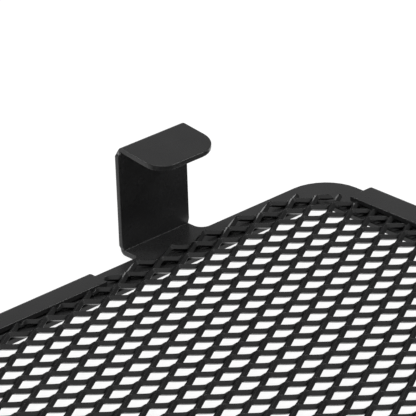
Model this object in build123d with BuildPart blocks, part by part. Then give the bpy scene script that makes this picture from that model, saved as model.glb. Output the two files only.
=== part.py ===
"""Radiator guard: a folded steel frame that clamps a sheet of expanded metal, with two hooks and two bolt ears.

Units are millimetres. The panel lies flat with its outer face on z = 0 and its radiator side up.
X runs along the long edges, the hooks stand on the back edge (+Y) and the bolt ears on the front edge (-Y).
The origin is the middle of the whole guard's footprint.
"""

import os
from math import atan2, cos, isclose, radians, sin, tan

from build123d import *

# ---- Panel ----
LENGTH = 330.0  # long edges, outside
WIDTH = 190.0  # short edges, outside
SHEET = 1.5  # thickness of the frame's sheet
CORNER_RADIUS = 12.5
BORDER = 13.5  # width of the flat border around the window
WINDOW_RADIUS = 4.0
BEND_RADIUS = 0.8  # inside radius of every bend
NECK_FILLET = 3.0  # concave corners beside the hooks and the ears

# ---- Hems: the sheet's edge folded back over the mesh ----
HEM_GAP = 0.8  # room for the flattened edge of the mesh
HEM_LONG_WIDTH = 8.0
HEM_LONG_START = 90.4  # from the panel's corner to the hem's end
HEM_LONG_PROUD = 0.0  # how far the fold stands outside the panel's edge
HEM_SHORT_WIDTH = 9.6
HEM_SHORT_START = 18.5
HEM_SHORT_PROUD = 1.2

# ---- Hooks ----
HOOK_SPACING = 208.3  # between the middles of the two legs
HOOK_WIDTH = 24.3
HOOK_RELIEF_INNER = 1.1  # notch beside each bend, on the side towards the panel's middle
HOOK_RELIEF_OUTER = 0.3  # the same on the other side
HOOK_STANDOFF = 5.5  # from the panel's edge to the leg's inside face
HOOK_CLEARANCE = 29.1  # between the border's top face and the lip, beside the leg
LIP_DEPTH = 14.3  # from the leg's inside face to the lip's front edge
LIP_RADIUS = 6.0
LIP_SLOPE = radians(5.4)  # the lip closes slightly towards the panel

# ---- Bolt ears ----
EAR_SPACING = 208.3
EAR_WIDTH = 24.0
EAR_REACH = 34.0  # from the panel's edge to the ear's rounded end
EAR_RISE = 9.0  # from the border's underside to the ear's underside
EAR_FOOT = 4.0  # flat stretch between the panel's edge and the joggle
EAR_RUN = 6.0  # length of the joggle, measured along Y
EAR_HOLE_RADIUS = 6.0

# ---- Expanded metal ----
MESH_THICKNESS = 0.8
LONG_PITCH = 12.5  # between two diamonds along X
SHORT_PITCH = 6.7  # between two diamonds along Y
STRAND_WIDTH = 1.6
MESH_INSET_LONG = 3.0  # from the panel's long edges to the mesh's edge
MESH_INSET_SHORT = 4.4  # the same at the short edges
MESH_CORNER_X = 9.4  # the cut corners of the mesh, along X
MESH_CORNER_Y = 17.0  # and along Y

# ---- Bolt kit in each ear ----
GROMMET_RADIUS = 9.0
GROMMET_LIP = 2.5  # height of the rubber on each side of the ear
GROMMET_ROUND = 0.8
COLLAR_RADIUS = 4.5
COLLAR_BORE_RADIUS = 3.2
WASHER_RADIUS = 9.0
WASHER_THICKNESS = 1.6
WASHER_BORE_RADIUS = 3.2
BOLT_SHANK_RADIUS = 3.0
BOLT_SHANK_PAST = 1.0  # how far the plain shank stands out of the collar
BOLT_THREAD_RADIUS = 2.7  # halfway up the thread
BOLT_LENGTH = 20.0
BOLT_TIP = 0.8  # chamfer at the bolt's end
BOLT_HEAD_RADIUS = 5.25
BOLT_HEAD_HEIGHT = 3.3
BOLT_HEAD_ROUND = 2.3
BOLT_SOCKET_RADIUS = 2.3  # corner radius of the hexagon socket
BOLT_SOCKET_DEPTH = 2.0

# ---- Places that follow from the sizes ----
PANEL_Y = (EAR_REACH - HOOK_STANDOFF - SHEET) / 2  # the panel's middle
BACK = PANEL_Y + WIDTH / 2
FRONT = PANEL_Y - WIDTH / 2
MID_SHEET = SHEET / 2
BEND_MID = BEND_RADIUS + MID_SHEET  # radius of a bend at the middle of the sheet
HEM_RADIUS = SHEET + HEM_GAP / 2  # outside radius of a fold
HEM_LONG_AXIS = HEM_RADIUS - HEM_LONG_PROUD  # from the panel's edge to the fold's axis
HEM_SHORT_AXIS = HEM_RADIUS - HEM_SHORT_PROUD
HEM_LONG = LENGTH - 2 * HEM_LONG_START
HEM_SHORT = WIDTH - 2 * HEM_SHORT_START
HOOK_NECK = HOOK_WIDTH - HOOK_RELIEF_INNER - HOOK_RELIEF_OUTER
HOOK_NECK_SHIFT = (HOOK_RELIEF_INNER - HOOK_RELIEF_OUTER) / 2
LEG_Y = BACK + HOOK_STANDOFF
LIP_UNDERSIDE = SHEET + HOOK_CLEARANCE  # where it meets the leg
LIP_WIDTH = HOOK_WIDTH - HOOK_RELIEF_INNER
LIP_LENGTH = LIP_DEPTH / cos(LIP_SLOPE) - BEND_RADIUS  # from the bend's end to the front edge
EAR_HOLE_Y = FRONT - EAR_REACH + EAR_WIDTH / 2
GROMMET_Z = EAR_RISE - GROMMET_LIP
GROMMET_HEIGHT = SHEET + 2 * GROMMET_LIP
WASHER_Z = GROMMET_Z - WASHER_THICKNESS
SIDES = {"left": -1, "right": 1}
UP = Vector(0, 0, 1)

os.makedirs("parts", exist_ok=True)


def save(part, name):
    """Labels a finished piece and writes its STEP file."""
    part.label = name
    export_step(part, f"parts/{name}.step")


# ---- Frame ----
# Each hem: the direction from its fold into the panel, the fold's place, the hem's width and its length.
hems = [
    (Vector(0, -1, 0), WIDTH / 2 - HEM_LONG_AXIS, HEM_LONG_WIDTH, HEM_LONG),
    (Vector(0, 1, 0), WIDTH / 2 - HEM_LONG_AXIS, HEM_LONG_WIDTH, HEM_LONG),
    (Vector(-1, 0, 0), LENGTH / 2 - HEM_SHORT_AXIS, HEM_SHORT_WIDTH, HEM_SHORT),
    (Vector(1, 0, 0), LENGTH / 2 - HEM_SHORT_AXIS, HEM_SHORT_WIDTH, HEM_SHORT),
]

with BuildPart() as frame:
    # The flat blank: the border with the hooks' necks and the ears' feet, cut back where a hem is folded.
    with BuildSketch(Plane((0, PANEL_Y, 0))) as blank:
        Rectangle(LENGTH, WIDTH)
        for side in SIDES.values():
            with Locations((side * (HOOK_SPACING / 2 + HOOK_NECK_SHIFT), WIDTH / 2)):
                Rectangle(HOOK_NECK, 2 * (HOOK_STANDOFF - BEND_RADIUS))
            with Locations((side * EAR_SPACING / 2, -WIDTH / 2)):
                Rectangle(EAR_WIDTH, 2 * EAR_FOOT)
        on_edge = [v for v in blank.vertices() if isclose(abs(v.Y), WIDTH / 2)]
        corners = [v for v in on_edge if isclose(abs(v.X), LENGTH / 2)]
        necks = [v for v in on_edge if v not in corners]
        fillet(corners, CORNER_RADIUS)
        fillet(necks, NECK_FILLET)
        with Locations((0, WIDTH / 2), (0, -WIDTH / 2)):
            Rectangle(HEM_LONG, 2 * HEM_LONG_AXIS, mode=Mode.SUBTRACT)
        with Locations((LENGTH / 2, 0), (-LENGTH / 2, 0)):
            Rectangle(2 * HEM_SHORT_AXIS, HEM_SHORT, mode=Mode.SUBTRACT)
        RectangleRounded(LENGTH - 2 * BORDER, WIDTH - 2 * BORDER, WINDOW_RADIUS, mode=Mode.SUBTRACT)
    extrude(amount=SHEET)

    # Hems: the sheet turns back over itself, with the mesh's edge between.
    for inward, fold_distance, hem_width, hem_length in hems:
        fold = Vector(0, PANEL_Y, 0) - inward * fold_distance
        flap = 2 * HEM_RADIUS - MID_SHEET
        with BuildSketch(Plane(fold, x_dir=inward, z_dir=inward.cross(UP))):
            with BuildLine():
                Line((HEM_RADIUS, MID_SHEET), (0, MID_SHEET))
                ThreePointArc((0, MID_SHEET), (MID_SHEET - HEM_RADIUS, HEM_RADIUS), (0, flap))
                Line((0, flap), (hem_width - HEM_RADIUS, flap))
            trace(line_width=SHEET)
        extrude(amount=hem_length / 2, both=True)

    # Hooks: a narrower strip makes the neck and both bends. The leg and the lip stand out beside it.
    for side in SIDES.values():
        middle = side * HOOK_SPACING / 2
        neck_middle = middle + side * HOOK_NECK_SHIFT
        bend_y = LEG_Y + MID_SHEET
        bend_z = LIP_UNDERSIDE + MID_SHEET * (1 + sin(LIP_SLOPE)) / cos(LIP_SLOPE)
        with BuildSketch(Plane.YZ.offset(neck_middle)):
            with BuildLine():
                FilletPolyline(
                    (BACK, MID_SHEET),
                    (bend_y, MID_SHEET),
                    (bend_y, bend_z),
                    (bend_y - LIP_DEPTH / 2, bend_z - LIP_DEPTH / 2 * tan(LIP_SLOPE)),
                    radius=BEND_MID,
                )
            trace(line_width=SHEET)
        extrude(amount=HOOK_NECK / 2, both=True)
        leg_centre = (middle, LEG_Y, SHEET + HOOK_CLEARANCE / 2)
        with BuildSketch(Plane(leg_centre, x_dir=(1, 0, 0), z_dir=(0, 1, 0))) as leg:
            Rectangle(HOOK_WIDTH, HOOK_CLEARANCE)
            chamfer(leg.vertices(), HOOK_RELIEF_INNER)
        extrude(amount=SHEET)
        lip_corner = (middle, LEG_Y, LIP_UNDERSIDE)
        lip_normal = (0, -sin(LIP_SLOPE), cos(LIP_SLOPE))
        with BuildSketch(Plane(lip_corner, x_dir=(1, 0, 0), z_dir=lip_normal)) as lip:
            with Locations((side * HOOK_RELIEF_INNER / 2, -LIP_DEPTH / cos(LIP_SLOPE))):
                Rectangle(LIP_WIDTH, LIP_LENGTH, align=(Align.CENTER, Align.MIN))
            fillet(lip.vertices().group_by(Axis.Y)[0], LIP_RADIUS)
        extrude(amount=SHEET)

    # Ears: a joggle lifts each one, so that the bolt's head stays inside the panel's outer face.
    for side in SIDES.values():
        middle = side * EAR_SPACING / 2
        with BuildSketch(Plane.YZ.offset(middle)):
            with BuildLine():
                FilletPolyline(
                    (FRONT, MID_SHEET),
                    (FRONT - EAR_FOOT, MID_SHEET),
                    (FRONT - EAR_FOOT - EAR_RUN, EAR_RISE + MID_SHEET),
                    (EAR_HOLE_Y, EAR_RISE + MID_SHEET),
                    radius=BEND_MID,
                )
            trace(line_width=SHEET)
        extrude(amount=EAR_WIDTH / 2, both=True)
        with BuildSketch(Plane((middle, EAR_HOLE_Y, EAR_RISE))):
            Circle(EAR_WIDTH / 2)
        extrude(amount=SHEET)
        with BuildSketch(Plane((middle, EAR_HOLE_Y, EAR_RISE))):
            Circle(EAR_HOLE_RADIUS)
        extrude(amount=SHEET, mode=Mode.SUBTRACT)
save(frame.part, "frame")

# ---- Expanded metal, with its strands flattened ----
strand_angle = atan2(SHORT_PITCH, LONG_PITCH)
diamond_x = LONG_PITCH / 2 - STRAND_WIDTH / 2 / sin(strand_angle)
diamond_y = SHORT_PITCH / 2 - STRAND_WIDTH / 2 / cos(strand_angle)
mesh_x = LENGTH / 2 - MESH_INSET_SHORT
mesh_y = WIDTH / 2 - MESH_INSET_LONG
columns = int(mesh_x / (LONG_PITCH / 2)) + 1
rows = int(mesh_y / (SHORT_PITCH / 2)) + 1
diamonds = [
    (column * LONG_PITCH / 2, row * SHORT_PITCH / 2)
    for column in range(-columns, columns + 1)
    for row in range(-rows, rows + 1)
    if (column + row) % 2 == 0
]

with BuildPart() as mesh:
    with BuildSketch(Plane((0, PANEL_Y, SHEET))):
        with BuildLine():
            Polyline((mesh_x, 0), (mesh_x, mesh_y - MESH_CORNER_Y), (mesh_x - MESH_CORNER_X, mesh_y), (0, mesh_y))
            mirror(about=Plane.YZ)
            mirror(about=Plane.XZ)
        make_face()
        with Locations(*diamonds):
            Polygon(
                (diamond_x, 0), (0, diamond_y), (-diamond_x, 0), (0, -diamond_y),
                align=None, mode=Mode.SUBTRACT,
            )
    extrude(amount=MESH_THICKNESS, clean=False)
save(mesh.part, "mesh")

# ---- Bolt kits ----
for side_name, side in SIDES.items():
    hole = Vector(side * EAR_SPACING / 2, EAR_HOLE_Y, 0)

    with BuildPart() as grommet:
        for low, high, radius in (
            (GROMMET_Z, EAR_RISE, GROMMET_RADIUS),
            (EAR_RISE, EAR_RISE + SHEET, EAR_HOLE_RADIUS),
            (EAR_RISE + SHEET, GROMMET_Z + GROMMET_HEIGHT, GROMMET_RADIUS),
        ):
            with BuildSketch(Plane(hole + UP * low)):
                Circle(radius)
                Circle(COLLAR_RADIUS, mode=Mode.SUBTRACT)
            extrude(amount=high - low)
        rims = grommet.edges().filter_by(GeomType.CIRCLE).group_by(SortBy.RADIUS)[-1].group_by(Axis.Z)
        fillet(rims[0] + rims[-1], GROMMET_ROUND)
    save(grommet.part, f"grommet_{side_name}")

    with BuildPart() as collar:
        with BuildSketch(Plane(hole + UP * GROMMET_Z)):
            Circle(COLLAR_RADIUS)
            Circle(COLLAR_BORE_RADIUS, mode=Mode.SUBTRACT)
        extrude(amount=GROMMET_HEIGHT)
    save(collar.part, f"collar_{side_name}")

    with BuildPart() as washer:
        with BuildSketch(Plane(hole + UP * WASHER_Z)):
            Circle(WASHER_RADIUS)
            Circle(WASHER_BORE_RADIUS, mode=Mode.SUBTRACT)
        extrude(amount=WASHER_THICKNESS)
    save(washer.part, f"washer_{side_name}")

    with BuildPart() as bolt:
        with BuildSketch(Plane(hole + UP * WASHER_Z)):
            Circle(BOLT_THREAD_RADIUS)
        extrude(amount=BOLT_LENGTH)
        chamfer(bolt.edges().sort_by(Axis.Z)[-1], BOLT_TIP)
        with BuildSketch(Plane(hole + UP * WASHER_Z)):
            Circle(BOLT_SHANK_RADIUS)
        extrude(amount=WASHER_THICKNESS + GROMMET_HEIGHT + BOLT_SHANK_PAST)
        with BuildSketch(Plane(hole + UP * (WASHER_Z - BOLT_HEAD_HEIGHT))):
            Circle(BOLT_HEAD_RADIUS)
        extrude(amount=BOLT_HEAD_HEIGHT)
        fillet(bolt.edges().sort_by(Axis.Z)[0], BOLT_HEAD_ROUND)
        with BuildSketch(Plane(hole + UP * (WASHER_Z - BOLT_HEAD_HEIGHT))):
            RegularPolygon(BOLT_SOCKET_RADIUS, 6)
        extrude(amount=BOLT_SOCKET_DEPTH, mode=Mode.SUBTRACT)
    save(bolt.part, f"bolt_{side_name}")
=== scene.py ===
"""Looks of a radiator guard: rounded powder-coated sheet, raised expanded metal, rubber and bolts.

Units are metres."""

import math

import bmesh
import bpy
from mathutils import Matrix, Vector


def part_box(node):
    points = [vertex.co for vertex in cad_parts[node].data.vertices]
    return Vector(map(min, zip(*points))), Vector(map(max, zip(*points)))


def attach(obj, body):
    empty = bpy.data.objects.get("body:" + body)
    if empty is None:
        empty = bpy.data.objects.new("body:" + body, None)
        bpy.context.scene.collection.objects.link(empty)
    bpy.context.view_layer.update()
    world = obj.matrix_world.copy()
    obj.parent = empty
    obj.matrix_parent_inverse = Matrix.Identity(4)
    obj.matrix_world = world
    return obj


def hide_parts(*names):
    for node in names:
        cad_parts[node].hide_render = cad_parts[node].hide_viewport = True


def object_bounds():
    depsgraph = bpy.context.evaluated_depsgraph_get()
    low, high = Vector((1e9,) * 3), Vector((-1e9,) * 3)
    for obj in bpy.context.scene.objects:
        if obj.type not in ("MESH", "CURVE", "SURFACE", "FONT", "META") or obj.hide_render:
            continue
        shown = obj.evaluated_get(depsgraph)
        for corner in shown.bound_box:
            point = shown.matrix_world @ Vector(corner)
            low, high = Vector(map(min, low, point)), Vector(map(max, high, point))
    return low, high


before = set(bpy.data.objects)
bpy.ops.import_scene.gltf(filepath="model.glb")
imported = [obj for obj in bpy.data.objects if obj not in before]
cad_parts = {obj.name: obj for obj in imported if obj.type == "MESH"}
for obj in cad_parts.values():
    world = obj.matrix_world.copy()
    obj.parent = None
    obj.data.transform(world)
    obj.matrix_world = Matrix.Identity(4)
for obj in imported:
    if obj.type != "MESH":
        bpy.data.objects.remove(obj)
cad_low, cad_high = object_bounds()

MM = 0.001
BODY = "root"
SIDES = ("left", "right")

# ---- Camera: it looks down at the foot of the right hook ----
CAMERA_AZIMUTH = -42.29  # degrees, 0 looks along +Y
CAMERA_ELEVATION = 25.8
CAMERA_ROLL = -1.94
CAMERA_DISTANCE = 0.8153
CAMERA_AIM_X = -0.0374  # from the object's right side
CAMERA_AIM_Y = 0.0036  # from the object's back
CAMERA_AIM_Z = 0.00007  # from the floor
LENS = 249.3
SENSOR = 36.0

# ---- Sizes of the sheet, close to the CAD model's ----
PANEL_LENGTH = 330.0 * MM
PANEL_WIDTH = 190.0 * MM
PANEL_Y = 13.5 * MM  # the panel's middle
BACK = PANEL_Y + PANEL_WIDTH / 2
FRONT = PANEL_Y - PANEL_WIDTH / 2
RIGHT = PANEL_LENGTH / 2
SHEET = 1.6 * MM  # with its coat
MID_SHEET = SHEET / 2
CORNER_RADIUS = 12.5 * MM
BORDER = 13.5 * MM
BORDER_LONG = 11.6 * MM  # along the panel's long edges
WINDOW_RADIUS = 4.0 * MM
NECK_FILLET = 3.0 * MM
NECK_FILLET_INNER = 0.8 * MM  # on the hooks' inner side
BEND = 0.15 * MM + MID_SHEET  # radius of a bend at the middle of the sheet
HEM_BEND = 0.25 * MM + MID_SHEET
HEM_LONG_X = 74.6 * MM  # half the length of the long hems
HEM_LONG_FOLD = 1.9 * MM  # from the panel's edge to the fold's axis
HEM_LONG_FLAP = 6.1 * MM  # flat part of the flap
HEM_SHORT_Y = 76.5 * MM  # half the length of the short hems
HEM_SHORT_FOLD = 0.7 * MM
HEM_SHORT_FLAP = 7.7 * MM
HEM_SLOT = 0.35 * MM  # relief beside each hem
HOOK_X = 104.15 * MM
LEG_INNER = 92.0 * MM  # the hook's edges: its leg, and the narrower neck and lip
NECK_INNER = 92.5 * MM
LIP_INNER = 93.1 * MM
NECK_OUTER = 116.5 * MM
LEG_OUTER = 116.9 * MM
LIP_OUTER = 116.3 * MM
STANDOFF = 5.35 * MM
CLEARANCE = 29.1 * MM
LIP_DEPTH = 15.3 * MM
LIP_RADIUS_INNER = 5.5 * MM
LIP_RADIUS_OUTER = 7.5 * MM
LIP_SLOPE = math.radians(6.2)
EAR_HALF = 12.0 * MM
EAR_REACH = 34.0 * MM
EAR_RISE = 9.0 * MM
EAR_FOOT = 4.0 * MM
EAR_RUN = 6.0 * MM
EAR_HOLE = 6.0 * MM
EAR_END_RADIUS = EAR_HALF * 0.9999  # its two quarter rounds don't quite meet
TAB_HALF = EAR_HALF + 6 * MM  # half the width of the stretch that folds with a hook or an ear
NEAR_TAB = 2.0 * MM  # faces this near to a tab are cut at its bends
BEND_STEPS = 8
RING_STEPS = 48  # round a turned piece or a hole
WELD = 0.0005 * MM
EDGE_ROUND = 0.25 * MM  # on the sheet's cut edges

# ---- Raised strands ----
LONG_PITCH = 12.5 * MM
SHORT_PITCH = 6.7 * MM
MESH_CORNER_X = 14.0 * MM
MESH_INSET = 2.3 * MM  # of the raised strands from the flat mesh's long edges
MESH_CORNER_Y = 17.0 * MM
STRAND_WIDTH = 1.6 * MM
STRAND_THICKNESS = 1.46 * MM
CLAMPED_THICKNESS = 0.5 * MM  # under the hems
STRAND_TILT = math.radians(-35)  # the strands' front edges stand up
LOWER_BOND = 2.3 * MM  # flat stretch of a strand at its front bonds
UPPER_BOND = 0.8 * MM  # and at its back bonds
LOWER_SLOPE = 0.68  # how soon a strand leaves its front bond: 0 slowly, 1 at once
UPPER_SLOPE = 1.1
STRAND_STEPS = 7  # between two bonds
STRAND_ROUND = 0.2 * MM  # on a strand's edges
STRAND_WELD = 0.001 * MM
STRAND_SINK = 0.28 * MM  # into the sheet below
CRUSH_WIDTH = 2.0 * MM  # the mesh rises to its full height over this distance from the hems


def new_piece(name, bm, material, slot, *nodes):
    """Makes an object of a bmesh, which rides on the guard and stands for the given CAD nodes."""
    mesh = bpy.data.meshes.new(name)
    bm.to_mesh(mesh)
    bm.free()
    for polygon in mesh.polygons:
        polygon.use_smooth = True
    piece = bpy.data.objects.new(name, mesh)
    bpy.context.scene.collection.objects.link(piece)
    piece.data.materials.clear()
    piece.data.materials.append(material)
    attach(piece, BODY)
    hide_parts(*nodes)
    return piece


def round_edges(piece, width, angle, segments=2):
    """Rounds a piece's sharp edges and keeps its flat faces flat."""
    bevel = piece.modifiers.new("edges", "BEVEL")
    bevel.width = width
    bevel.segments = segments
    bevel.limit_method = "ANGLE"
    bevel.angle_limit = math.radians(angle)
    bevel.use_clamp_overlap = False
    bevel.harden_normals = True


# ---- Materials ----
class Nodes:
    """A new material's nodes, and short ways to add and join them."""

    def __init__(self, name):
        self.material = bpy.data.materials.new(name)
        self.material.use_nodes = True
        self.tree = self.material.node_tree
        self.shader = self.tree.nodes["Principled BSDF"]
        coordinates = self.add("ShaderNodeTexCoord")
        self.place = coordinates.outputs["Object"]

    def add(self, kind, **values):
        node = self.tree.nodes.new(kind)
        for key, value in values.items():
            setattr(node, key, value)
        return node

    def link(self, output, node, socket):
        self.tree.links.new(output, node.inputs[socket])

    def noise(self, size, detail=3.0, roughness=0.5, place=None):
        """Noise whose patches are about `size` metres across."""
        node = self.add("ShaderNodeTexNoise")
        self.link(place or self.place, node, "Vector")
        node.inputs["Scale"].default_value = 1 / size
        node.inputs["Detail"].default_value = detail
        node.inputs["Roughness"].default_value = roughness
        return node.outputs["Fac"]

    def ramp(self, factor, *stops):
        """A colour ramp of (position, colour) stops."""
        node = self.add("ShaderNodeValToRGB")
        elements = node.color_ramp.elements
        while len(elements) < len(stops):
            elements.new(0.5)
        for element, (position, colour) in zip(elements, stops):
            element.position = position
            element.color = (*colour, 1)
        self.link(factor, node, "Fac")
        return node.outputs["Color"]

    def range(self, value, low, high, start=0.3, end=0.7):
        """Turns a noise between start and end into low to high."""
        node = self.add("ShaderNodeMapRange")
        self.link(value, node, "Value")
        for socket, number in (("From Min", start), ("From Max", end), ("To Min", low), ("To Max", high)):
            node.inputs[socket].default_value = number
        return node.outputs["Result"]

    def bump(self, height, distance, strength=1.0, before=None):
        node = self.add("ShaderNodeBump")
        node.inputs["Strength"].default_value = strength
        node.inputs["Distance"].default_value = distance
        self.link(height, node, "Height")
        if before:
            self.link(before, node, "Normal")
        return node.outputs["Normal"]


COAT_IOR = 1.36


def powder_coat(name, dark, light, orange_peel):
    """Semi-gloss black powder coat: a slightly uneven tone and gloss, and a fine orange peel."""
    n = Nodes(name)
    n.shader.inputs["IOR"].default_value = COAT_IOR
    tone = n.ramp(n.noise(9 * MM, 4), (0.35, dark), (0.65, light))
    n.link(tone, n.shader, "Base Color")
    n.link(n.range(n.noise(4 * MM, 5), 0.25, 0.29), n.shader, "Roughness")
    peel = n.bump(n.noise(0.9 * MM, 2), orange_peel)
    grain = n.bump(n.noise(0.16 * MM, 2), 0.001 * MM, before=peel)
    n.link(grain, n.shader, "Normal")
    return n.material


def rubber():
    """Dull moulded rubber with a fine grain."""
    n = Nodes("moulded_rubber")
    n.shader.inputs["Specular IOR Level"].default_value = 0.35
    tone = n.ramp(n.noise(3 * MM, 5), (0.3, (0.014, 0.014, 0.014)), (0.7, (0.026, 0.026, 0.025)))
    n.link(tone, n.shader, "Base Color")
    n.link(n.range(n.noise(1.2 * MM, 4), 0.62, 0.8), n.shader, "Roughness")
    n.link(n.bump(n.noise(0.25 * MM, 3), 0.015 * MM), n.shader, "Normal")
    return n.material


def steel(name, dark, light, rough_low, rough_high, grain):
    """Plated or stainless steel with blotches and fine marks."""
    n = Nodes(name)
    n.shader.inputs["Metallic"].default_value = 1
    tone = n.ramp(n.noise(2.5 * MM, 6), (0.3, dark), (0.7, light))
    n.link(tone, n.shader, "Base Color")
    n.link(n.range(n.noise(0.8 * MM, 5), rough_low, rough_high), n.shader, "Roughness")
    n.link(n.bump(n.noise(0.12 * MM, 3), grain), n.shader, "Normal")
    return n.material


FRAME_COAT = powder_coat("frame_powder_coat", (0.022, 0.022, 0.0224), (0.025, 0.025, 0.0254), 0.002 * MM)
MESH_COAT = powder_coat("mesh_powder_coat", (0.010, 0.010, 0.0102), (0.015, 0.015, 0.0153), 0.004 * MM)
RUBBER = rubber()
ZINC = steel("zinc_plating", (0.50, 0.51, 0.52), (0.68, 0.69, 0.70), 0.28, 0.45, 0.006 * MM)
STAINLESS = steel("stainless_bolt", (0.48, 0.48, 0.49), (0.62, 0.62, 0.63), 0.2, 0.34, 0.004 * MM)


# ---- Frame: a flat blank with rounded edges, folded up like the real sheet ----
# A tab's path is a list of steps: a straight length, or a bend as (radius, angle).
def bend_length(radius, angle):
    """The length of a bend at the middle of the sheet."""
    return radius * abs(angle)


def walk(path, distance):
    """The place and heading at a distance along a path that starts level: (outward, up, heading)."""
    out, up, heading = 0.0, 0.0, 0.0
    for step in path:
        turn = step[1] if isinstance(step, tuple) else 0
        length = bend_length(*step) if turn else step
        gone = min(distance, length)
        if turn:
            radius, sign = step[0], math.copysign(1, turn)
            ahead = heading + sign * gone / radius
            out += sign * radius * (math.sin(ahead) - math.sin(heading))
            up += sign * radius * (math.cos(heading) - math.cos(ahead))
            heading = ahead
        else:
            out += gone * math.cos(heading)
            up += gone * math.sin(heading)
        distance -= gone
        if distance <= 0:
            return out, up, heading
    return out + distance * math.cos(heading), up + distance * math.sin(heading), heading


def path_length(path):
    """The flat length of a whole tab."""
    return sum(bend_length(*step) if isinstance(step, tuple) else step for step in path)


LIP_TURN = math.pi / 2 + LIP_SLOPE
LIP_RISE = CLEARANCE + SHEET + MID_SHEET * (1 + math.sin(LIP_SLOPE)) / math.cos(LIP_SLOPE) - MID_SHEET
HOOK_PATH = (
    STANDOFF + MID_SHEET - BEND,
    (BEND, math.pi / 2),
    LIP_RISE - BEND - BEND * math.tan(LIP_TURN / 2),
    (BEND, LIP_TURN),
    (LIP_DEPTH + MID_SHEET) / math.cos(LIP_SLOPE) - BEND * math.tan(LIP_TURN / 2),
)
EAR_TURN = math.atan2(EAR_RISE, EAR_RUN)
EAR_TANGENT = BEND * math.tan(EAR_TURN / 2)
EAR_PATH = (
    EAR_FOOT - EAR_TANGENT,
    (BEND, EAR_TURN),
    math.hypot(EAR_RISE, EAR_RUN) - 2 * EAR_TANGENT,
    (BEND, -EAR_TURN),
    EAR_REACH - EAR_FOOT - EAR_RUN - EAR_TANGENT,
)
HEM_LONG_PATH = ((HEM_BEND, math.pi), HEM_LONG_FLAP)
HEM_SHORT_PATH = ((HEM_BEND, math.pi), HEM_SHORT_FLAP)


def tabs():
    """Every tab: its fold's start, its direction away from the panel, half its width and its path."""
    back, front = Vector((0, 1, 0)), Vector((0, -1, 0))
    found = [
        (Vector((0, BACK - HEM_LONG_FOLD, 0)), back, HEM_LONG_X, HEM_LONG_PATH),
        (Vector((0, FRONT + HEM_LONG_FOLD, 0)), front, HEM_LONG_X, HEM_LONG_PATH),
    ]
    for sign in (-1, 1):
        side = Vector((sign, 0, 0))
        hem_fold = Vector((sign * (RIGHT - HEM_SHORT_FOLD), PANEL_Y, 0))
        found.append((hem_fold, side, HEM_SHORT_Y, HEM_SHORT_PATH))
        found.append((Vector((sign * HOOK_X, BACK, 0)), back, TAB_HALF, HOOK_PATH))
        found.append((Vector((sign * HOOK_X, FRONT, 0)), front, TAB_HALF, EAR_PATH))
    return found


def filleted(corners, steps=8):
    """A closed outline from (x, y, radius) corners, each rounded by an arc."""
    points = []
    for index, (x, y, radius) in enumerate(corners):
        corner = Vector((x, y))
        if not radius:
            points.append(corner)
            continue
        before = (Vector(corners[index - 1][:2]) - corner).normalized()
        after = (Vector(corners[(index + 1) % len(corners)][:2]) - corner).normalized()
        half = before.angle(after) / 2
        centre = corner + (before + after).normalized() * radius / math.sin(half)
        start = corner + before * radius / math.tan(half) - centre
        turn = start.angle_signed(corner + after * radius / math.tan(half) - centre)
        for step in range(steps + 1):
            points.append(centre + Matrix.Rotation(-turn * step / steps, 2) @ start)
    return points


def half_outline():
    """The blank's right half, from the middle of the front hem round to the middle of the back hem."""
    leg_start = BACK + HOOK_PATH[0] + bend_length(*HOOK_PATH[1])
    leg_end = leg_start + HOOK_PATH[2]
    relief = LIP_INNER - LEG_INNER
    shoulder = leg_end + BEND / 2
    lip_end = BACK + path_length(HOOK_PATH)
    ear_end = FRONT - path_length(EAR_PATH)
    hem_front = FRONT + HEM_LONG_FOLD - path_length(HEM_LONG_PATH)
    hem_back = BACK - HEM_LONG_FOLD + path_length(HEM_LONG_PATH)
    hem_right = RIGHT - HEM_SHORT_FOLD + path_length(HEM_SHORT_PATH)
    slot_x, slot_y = HEM_LONG_X + HEM_SLOT, HEM_SHORT_Y + HEM_SLOT
    return [
        (HEM_LONG_X, hem_front, 0), (HEM_LONG_X, FRONT + HEM_LONG_FOLD, 0),
        (slot_x, FRONT + HEM_LONG_FOLD, 0), (slot_x, FRONT, 0),
        (HOOK_X - EAR_HALF, FRONT, NECK_FILLET), (HOOK_X - EAR_HALF, ear_end, EAR_END_RADIUS),
        (HOOK_X + EAR_HALF, ear_end, EAR_END_RADIUS), (HOOK_X + EAR_HALF, FRONT, NECK_FILLET),
        (RIGHT, FRONT, CORNER_RADIUS), (RIGHT, PANEL_Y - slot_y, 0),
        (RIGHT - HEM_SHORT_FOLD, PANEL_Y - slot_y, 0), (RIGHT - HEM_SHORT_FOLD, PANEL_Y - HEM_SHORT_Y, 0),
        (hem_right, PANEL_Y - HEM_SHORT_Y, 0), (hem_right, PANEL_Y + HEM_SHORT_Y, 0),
        (RIGHT - HEM_SHORT_FOLD, PANEL_Y + HEM_SHORT_Y, 0), (RIGHT - HEM_SHORT_FOLD, PANEL_Y + slot_y, 0),
        (RIGHT, PANEL_Y + slot_y, 0), (RIGHT, BACK, CORNER_RADIUS),
        (NECK_OUTER, BACK, NECK_FILLET), (NECK_OUTER, leg_start, 0), (LEG_OUTER, leg_start + relief, 0),
        (LEG_OUTER, shoulder - relief, 0), (LIP_OUTER, shoulder, 0), (LIP_OUTER, lip_end, LIP_RADIUS_OUTER),
        (LIP_INNER, lip_end, LIP_RADIUS_INNER), (LIP_INNER, shoulder, 0), (LEG_INNER, shoulder - relief, 0),
        (LEG_INNER, leg_start + relief, 0), (NECK_INNER, leg_start, 0), (NECK_INNER, BACK, NECK_FILLET_INNER),
        (slot_x, BACK, 0), (slot_x, BACK - HEM_LONG_FOLD, 0), (HEM_LONG_X, BACK - HEM_LONG_FOLD, 0),
        (HEM_LONG_X, hem_back, 0),
    ]


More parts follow.
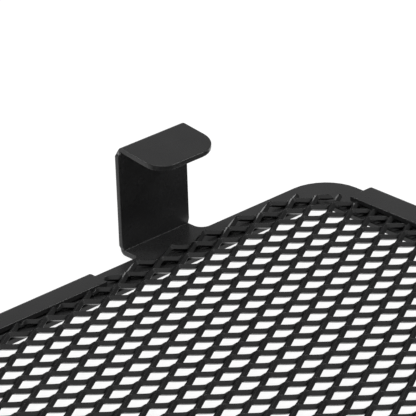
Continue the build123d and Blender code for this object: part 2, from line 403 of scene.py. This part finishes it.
def flat_blank():
    """The blank as a solid plate with rounded edges."""
    right = half_outline()
    left = [(-x, y, radius) for x, y, radius in reversed(right)]
    hole_y = FRONT - path_length(EAR_PATH) + EAR_HALF
    window_x, window_y = RIGHT - BORDER, PANEL_WIDTH / 2 - BORDER_LONG
    corners = ((-1, -1), (1, -1), (1, 1), (-1, 1))
    window = [(x * window_x, PANEL_Y + y * window_y, WINDOW_RADIUS) for x, y in corners]
    outlines = [filleted(right + left), filleted(window)]
    for sign in (-1, 1):
        centre = Vector((sign * HOOK_X, hole_y))
        turns = [2 * math.pi * step / RING_STEPS for step in range(RING_STEPS)]
        outlines.append([centre + EAR_HOLE * Vector((math.cos(a), math.sin(a))) for a in turns])
    curve = bpy.data.curves.new("blank", "CURVE")
    curve.dimensions = "2D"
    curve.fill_mode = "BOTH"
    curve.extrude = MID_SHEET - EDGE_ROUND
    curve.bevel_depth = EDGE_ROUND
    curve.bevel_resolution = 1
    curve.offset = -EDGE_ROUND
    for outline in outlines:
        spline = curve.splines.new("POLY")
        spline.points.add(len(outline) - 1)
        for point, place in zip(spline.points, outline):
            point.co = (place.x, place.y, 0, 1)
        spline.use_cyclic_u = True
    holder = bpy.data.objects.new("blank", curve)
    bpy.context.scene.collection.objects.link(holder)
    plate = bpy.data.meshes.new_from_object(holder.evaluated_get(bpy.context.evaluated_depsgraph_get()))
    bm = bmesh.new()
    bm.from_mesh(plate)
    bpy.data.objects.remove(holder)
    bpy.data.curves.remove(curve)
    bpy.data.meshes.remove(plate)
    bmesh.ops.remove_doubles(bm, verts=bm.verts, dist=WELD)
    return bm


def beside(place, start, outward, half_width):
    """Whether a place is on a tab, or up to a millimetre before it."""
    lateral = Vector((-outward.y, outward.x, 0))
    return (place - start).dot(outward) > -1 * MM and abs((place - start).dot(lateral)) < half_width


def fold(bm, start, outward, half_width, path):
    """Bends one tab of the blank along its path."""
    lateral = Vector((-outward.y, outward.x, 0))
    distance = 0.0
    cuts = [0.0]
    for step in path:
        if isinstance(step, tuple):
            length = bend_length(*step)
            cuts += [distance + length * k / BEND_STEPS for k in range(BEND_STEPS + 1)]
        distance += path_length([step])
    for cut in cuts:
        reach = half_width + NEAR_TAB
        near = [f for f in bm.faces if any(beside(v.co, start, outward, reach) for v in f.verts)]
        edges = {e for f in near for e in f.edges}
        verts = {v for f in near for v in f.verts}
        place = start + outward * cut
        bmesh.ops.bisect_plane(bm, geom=[*verts, *edges, *near], plane_co=place, plane_no=outward, dist=WELD)
    for v in bm.verts:
        away = (v.co - start).dot(outward)
        aside = (v.co - start).dot(lateral)
        if away > 0 and abs(aside) < half_width + HEM_SLOT / 2:
            out, up, heading = walk(path, away)
            height = v.co.z
            out -= math.sin(heading) * height
            up += math.cos(heading) * height
            v.co = start + lateral * aside + outward * out + Vector((0, 0, up))


def make_frame():
    """The folded sheet, as one piece."""
    bm = flat_blank()
    for tab in tabs():
        fold(bm, *tab)
    bmesh.ops.translate(bm, verts=bm.verts, vec=(0, 0, MID_SHEET))
    bmesh.ops.recalc_face_normals(bm, faces=bm.faces)
    piece = new_piece("guard_frame", bm, FRAME_COAT, "frame_coat", "frame")
    weighted = piece.modifiers.new("flat_faces", "WEIGHTED_NORMAL")
    weighted.weight = 100


make_frame()


# ---- Expanded metal ----
def crush(x, y):
    """1 where the hems press the mesh flat, 0 where it stands at its full height.

    y is from the panel's middle."""
    long_edge = PANEL_WIDTH / 2 + HEM_BEND - HEM_LONG_FOLD - HEM_LONG_FLAP
    short_edge = RIGHT - HEM_SHORT_FOLD - HEM_SHORT_FLAP
    to_long = math.hypot(max(abs(x) - HEM_LONG_X, 0), max(long_edge - abs(y), 0))
    to_short = math.hypot(max(short_edge - abs(x), 0), max(abs(y) - HEM_SHORT_Y, 0))
    rise = min(min(to_long, to_short) / CRUSH_WIDTH, 1)
    return 1 - rise * rise * (3 - 2 * rise)


def strand_samples():
    """One wave of a strand, between two front bonds: (x, share of the way to its back bonds)."""
    start, end = LOWER_BOND / 2, (LONG_PITCH - UPPER_BOND) / 2
    rise = [(UPPER_BOND / 2, 0.0)]
    for step in range(STRAND_STEPS + 1):
        t = step / STRAND_STEPS
        leave = (t ** 3 - 2 * t * t + t) * LOWER_SLOPE
        arrive = (t ** 3 - t * t) * UPPER_SLOPE
        rise.append((start + (end - start) * t, leave + t * t * (3 - 2 * t) + arrive))
    return rise + [(LONG_PITCH - x, share) for x, share in reversed(rise)]


def strand_section(x, y, share):
    """The strand's four corners at one place: front bottom, back bottom, back top, front top."""
    flat = crush(x, y)
    tilt = STRAND_TILT * (1 - flat)
    thickness = STRAND_THICKNESS + (CLAMPED_THICKNESS - STRAND_THICKNESS) * flat
    across = Vector((0, math.cos(tilt), math.sin(tilt))) * STRAND_WIDTH / 2
    through = Vector((0, -math.sin(tilt), math.cos(tilt))) * thickness / 2
    height = 4 * abs(across.z) + 2 * through.z - 2 * STRAND_SINK
    centre = Vector((x, PANEL_Y + y, SHEET + height / 2)) + across * (1 - 2 * share)
    bottom, top = centre - through, centre + through
    return bottom - across, bottom + across, top + across, top - across


def make_mesh():
    """Every row of strands, joined to the next along their bonds, larger than the mesh's outline."""
    low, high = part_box("mesh")
    half_x, half_y = (high.x - low.x) / 2, (high.y - low.y) / 2
    columns = int(half_x / LONG_PITCH) + 2
    rows = int(half_y / (SHORT_PITCH / 2)) + 1
    samples = strand_samples()
    bm = bmesh.new()
    for row in range(-rows, rows):
        shift = LONG_PITCH / 2 if row % 2 == 0 else 0
        sections = []
        for column in range(-columns, columns):
            for x, share in samples:
                place = (column * LONG_PITCH + shift + x, (row + share) * SHORT_PITCH / 2, share)
                sections.append([bm.verts.new(corner) for corner in strand_section(*place)])
        bonds = {len(samples) - 1: 3, len(samples) // 2 - 1: 1}  # where a side is shared with the next row
        for index, (near, far) in enumerate(zip(sections, sections[1:])):
            joined = bonds.get(index % len(samples))
            for side in range(4):
                if side != joined:
                    after = (side + 1) % 4
                    bm.faces.new((near[side], far[side], far[after], near[after]))
        bm.faces.new(sections[0][::-1])
        bm.faces.new(sections[-1])
    bmesh.ops.remove_doubles(bm, verts=bm.verts, dist=STRAND_WELD)
    bmesh.ops.recalc_face_normals(bm, faces=bm.faces)
    return bm


def trim(bm, point, normal):
    """Cuts away what lies beyond a plane and closes the cut."""
    bmesh.ops.bisect_plane(
        bm, geom=[*bm.verts, *bm.edges, *bm.faces], plane_co=point, plane_no=normal, clear_outer=True
    )
    bmesh.ops.holes_fill(bm, edges=[e for e in bm.edges if e.is_boundary])


def outline_planes():
    """The mesh's sides and its cut corners, each as a point and a direction out of the mesh."""
    low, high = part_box("mesh")
    middle = (low + high) / 2
    half_x, half_y = (high.x - low.x) / 2, (high.y - low.y) / 2 - MESH_INSET
    planes = []
    for sign in (-1, 1):
        planes.append((middle + Vector((sign * half_x, 0, 0)), Vector((sign, 0, 0))))
        planes.append((middle + Vector((0, sign * half_y, 0)), Vector((0, sign, 0))))
        for other in (-1, 1):
            point = middle + Vector((sign * (half_x - MESH_CORNER_X), other * half_y, 0))
            planes.append((point, Vector((sign * MESH_CORNER_Y, other * MESH_CORNER_X, 0)).normalized()))
    return planes


whole_mesh = make_mesh()
for plane in outline_planes():
    trim(whole_mesh, *plane)
for side, sign in zip(SIDES, (1, -1)):
    half = whole_mesh.copy()
    trim(half, Vector((0, 0, 0)), Vector((sign, 0, 0)))
    piece = new_piece(f"expanded_metal_{side}", half, MESH_COAT, "mesh_coat", "mesh")
    round_edges(piece, STRAND_ROUND, 35, segments=1)
whole_mesh.free()


# ---- Bolt kits ----
HEAD_RADIUS = 5.25 * MM
HEAD_HEIGHT = 3.3 * MM
SOCKET_RADIUS = 2.3 * MM
SOCKET_DEPTH = 2.0 * MM
DOME_HEIGHT = 2.3 * MM
DOME_STEPS = 8
HEAD_CHAMFER = 0.15 * MM
TIP_CHAMFER = 0.8 * MM
SHANK_RADIUS = 3.0 * MM
THREAD_RADIUS = 2.95 * MM
THREAD_PITCH = 1.0 * MM
THREAD_DEPTH = 0.5 * MM
STEPS_PER_TURN = 8
PLAIN_SHANK_TOP = 14.0 * MM
EDGE_CHAMFER = 0.25 * MM
RING_BORE = 3.2 * MM  # of the washers and collars


def ring_stack(rings, centre, closed):
    """A turned piece: each ring is (radius, z), where the radius may be a function of the angle.

    A closed stack is a tube whose last ring joins its first, and an open one is capped at both ends."""
    bm = bmesh.new()
    loops = []
    for radius, z in rings:
        loop = []
        for step in range(RING_STEPS):
            angle = 2 * math.pi * step / RING_STEPS
            r = radius(angle) if callable(radius) else radius
            loop.append(bm.verts.new((centre.x + r * math.cos(angle), centre.y + r * math.sin(angle), z)))
        loops.append(loop)
    followers = loops[1:] + loops[:1] if closed else loops[1:]
    for near, far in zip(loops, followers):
        for step in range(RING_STEPS):
            after = (step + 1) % RING_STEPS
            bm.faces.new((near[step], near[after], far[after], far[step]))
    if not closed:
        bm.faces.new(loops[0][::-1])
        bm.faces.new(loops[-1])
    bmesh.ops.recalc_face_normals(bm, faces=bm.faces)
    return bm


def hexagon(corner_radius):
    """The radius of a hexagon's outline as a function of the angle."""
    flat = corner_radius * math.cos(math.pi / 6)
    return lambda angle: flat / math.cos((angle + math.pi / 6) % (math.pi / 3) - math.pi / 6)


def thread(z, start, end):
    """The radius of a screw thread at height z, as a function of the angle. It runs out near both ends."""
    depth = THREAD_DEPTH * min(1, max(0, (z - start) / THREAD_PITCH), max(0, (end - z) / THREAD_PITCH) + 0.6)

    def radius(angle):
        turn = (z / THREAD_PITCH - angle / (2 * math.pi)) % 1
        return THREAD_RADIUS - depth * min(1, max(0, 1.15 - abs(turn - 0.5) * 3.4))

    return radius


def make_bolt(side):
    """A button-head screw with a hexagon socket. It stands head down."""
    low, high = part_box(f"bolt_{side}")
    centre = (low + high) / 2
    head_top = low.z + HEAD_HEIGHT
    socket = hexagon(SOCKET_RADIUS)
    rings = [(socket, low.z + SOCKET_DEPTH), (socket, low.z + HEAD_CHAMFER)]
    rings.append((hexagon(SOCKET_RADIUS + HEAD_CHAMFER), low.z))
    for step in range(DOME_STEPS + 1):
        angle = math.pi / 2 * step / DOME_STEPS
        inset, rise = DOME_HEIGHT * (1 - math.sin(angle)), DOME_HEIGHT * (1 - math.cos(angle))
        rings.append((HEAD_RADIUS - inset, low.z + rise))
    rings.append((HEAD_RADIUS, head_top - HEAD_CHAMFER))
    rings.append((HEAD_RADIUS - HEAD_CHAMFER, head_top))
    rings.append((SHANK_RADIUS, head_top))
    rings.append((SHANK_RADIUS, PLAIN_SHANK_TOP - 0.1 * MM))
    tip = high.z - TIP_CHAMFER
    count = int((tip - PLAIN_SHANK_TOP) / THREAD_PITCH * STEPS_PER_TURN)
    for step in range(count + 1):
        z = PLAIN_SHANK_TOP + (tip - PLAIN_SHANK_TOP) * step / count
        rings.append((thread(z, PLAIN_SHANK_TOP, tip), z))
    rings.append((THREAD_RADIUS - TIP_CHAMFER, high.z))
    bm = ring_stack(rings, centre, closed=False)
    piece = new_piece(f"threaded_bolt_{side}", bm, STAINLESS, "bolt_steel", f"bolt_{side}")
    piece.data.set_sharp_from_angle(angle=math.radians(35))


def make_ring(name, node, bore, material, slot, edge):
    """A washer or a tube with small rounded edges."""
    low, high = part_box(node)
    outer = (high.x - low.x) / 2
    rings = [
        (bore + edge, low.z), (outer - edge, low.z),
        (outer - edge * 0.3, low.z + edge * 0.3), (outer, low.z + edge),
        (outer, high.z - edge), (outer - edge * 0.3, high.z - edge * 0.3), (outer - edge, high.z),
        (bore + edge, high.z), (bore, high.z - edge), (bore, low.z + edge),
    ]
    bm = ring_stack(rings, (low + high) / 2, closed=True)
    piece = new_piece(name, bm, material, slot, node)
    piece.data.set_sharp_from_angle(angle=math.radians(50))


def make_grommet(side):
    """A moulded rubber ring: two rounded lips and a waist that fills the ear's hole."""
    low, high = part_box(f"grommet_{side}")
    middle = (low.z + high.z) / 2
    outer = (high.x - low.x) / 2
    bore = 4.5 * MM
    waist = 6.0 * MM
    half_sheet = SHEET / 2
    lip_round = 0.9 * MM
    rings = [(bore, low.z + 0.2 * MM), (bore + 0.2 * MM, low.z)]
    for sign, z in ((-1, low.z), (1, high.z)):
        arc = [(math.sin(a), math.cos(a)) for a in (math.pi / 2 * k / 5 for k in range(6))]
        points = [(outer - lip_round * (1 - s), z - sign * lip_round * (1 - c)) for s, c in arc]
        face = middle + sign * half_sheet
        neck = [(outer, face + sign * 0.3 * MM), (outer - 0.3 * MM, face), (waist, face)]
        rings += points + neck if sign < 0 else (points + neck)[::-1]
    rings += [(bore + 0.2 * MM, high.z), (bore, high.z - 0.2 * MM)]
    bm = ring_stack(rings, (low + high) / 2, closed=True)
    piece = new_piece(f"rubber_grommet_{side}", bm, RUBBER, "rubber", f"grommet_{side}")
    piece.data.set_sharp_from_angle(angle=math.radians(50))


for side in SIDES:
    make_bolt(side)
    make_ring(f"flat_washer_{side}", f"washer_{side}", RING_BORE, ZINC, "zinc_steel", EDGE_CHAMFER)
    make_ring(f"steel_collar_{side}", f"collar_{side}", RING_BORE, ZINC, "zinc_steel", EDGE_CHAMFER)
    make_grommet(side)


# ---- Camera ----
def make_camera():
    """A long lens that looks at the foot of the right hook."""
    azimuth, elevation = math.radians(CAMERA_AZIMUTH), math.radians(CAMERA_ELEVATION)
    level = math.cos(elevation)
    forward = Vector((-math.sin(azimuth) * level, math.cos(azimuth) * level, -math.sin(elevation)))
    aim = Vector((cad_high.x + CAMERA_AIM_X, cad_high.y + CAMERA_AIM_Y, CAMERA_AIM_Z))
    camera = bpy.data.objects.new("camera", bpy.data.cameras.new("camera"))
    camera.data.lens = LENS
    camera.data.sensor_width = SENSOR
    level = forward.to_track_quat("-Z", "Y").to_matrix()
    turned = level @ Matrix.Rotation(math.radians(CAMERA_ROLL), 3, "Z")
    camera.matrix_world = Matrix.Translation(aim - forward * CAMERA_DISTANCE) @ turned.to_4x4()
    bpy.context.scene.collection.objects.link(camera)
    bpy.context.scene.camera = camera


make_camera()


# ---- Floor and light ----
# Each light's name, place, size and radiance.
SOFT_LIGHTS = (
    ("overhead_softbox", (0, 0.2, 2.0), 1.6, 3.0),
    ("front_softbox", (0.24, -1.6, 1.2), 1.2, 0.9),
    ("back_panel", (1.5, 1.66, 1.1), 2.0, 0.1),
    ("back_left_softbox", (-0.88, 1.34, 1.2), 0.6, 10.0),
    ("right_softbox", (1.2, -0.88, 1.34), 0.6, 10.0),
)
FILL_LIGHT = 0.2  # radiance of the surroundings


def make_floor():
    """A white floor that shines a little, so that the guard's shadow doesn't grey its holes."""
    bm = bmesh.new()
    bmesh.ops.create_grid(bm, x_segments=1, y_segments=1, size=6)
    mesh = bpy.data.meshes.new("floor")
    bm.to_mesh(mesh)
    bm.free()
    n = Nodes("pale_floor")
    n.shader.inputs["Base Color"].default_value = (0.15, 0.15, 0.15, 1)
    n.shader.inputs["Roughness"].default_value = 1
    n.shader.inputs["Emission Color"].default_value = (1, 1, 1, 1)
    n.shader.inputs["Emission Strength"].default_value = 0.9
    n.shader.inputs["Specular IOR Level"].default_value = 0
    mesh.materials.append(n.material)
    floor = bpy.data.objects.new("floor", mesh)
    floor.location.z = -0.1 * MM
    bpy.context.scene.collection.objects.link(floor)


def make_world():
    """White to look at, but only a dim fill light."""
    world = bpy.data.worlds.new("studio")
    world.use_nodes = True
    tree = world.node_tree
    background = tree.nodes["Background"]
    background.inputs["Color"].default_value = (1, 1, 1, 1)
    seen = tree.nodes.new("ShaderNodeMapRange")
    seen.inputs["To Min"].default_value = FILL_LIGHT
    tree.links.new(tree.nodes.new("ShaderNodeLightPath").outputs["Is Camera Ray"], seen.inputs["Value"])
    tree.links.new(seen.outputs["Result"], background.inputs["Strength"])
    bpy.context.scene.world = world


def soft_light(name, place, size, radiance):
    """A square area light that looks at the guard."""
    light = bpy.data.lights.new(name, "AREA")
    light.size = size
    light.energy = radiance * math.pi * size * size
    lamp = bpy.data.objects.new(name, light)
    lamp.location = place
    lamp.rotation_euler = (-Vector(place)).to_track_quat("-Z", "Y").to_euler()
    bpy.context.scene.collection.objects.link(lamp)


make_floor()
for light in SOFT_LIGHTS:
    soft_light(*light)
make_world()
bpy.context.scene.view_settings.view_transform = "Standard"
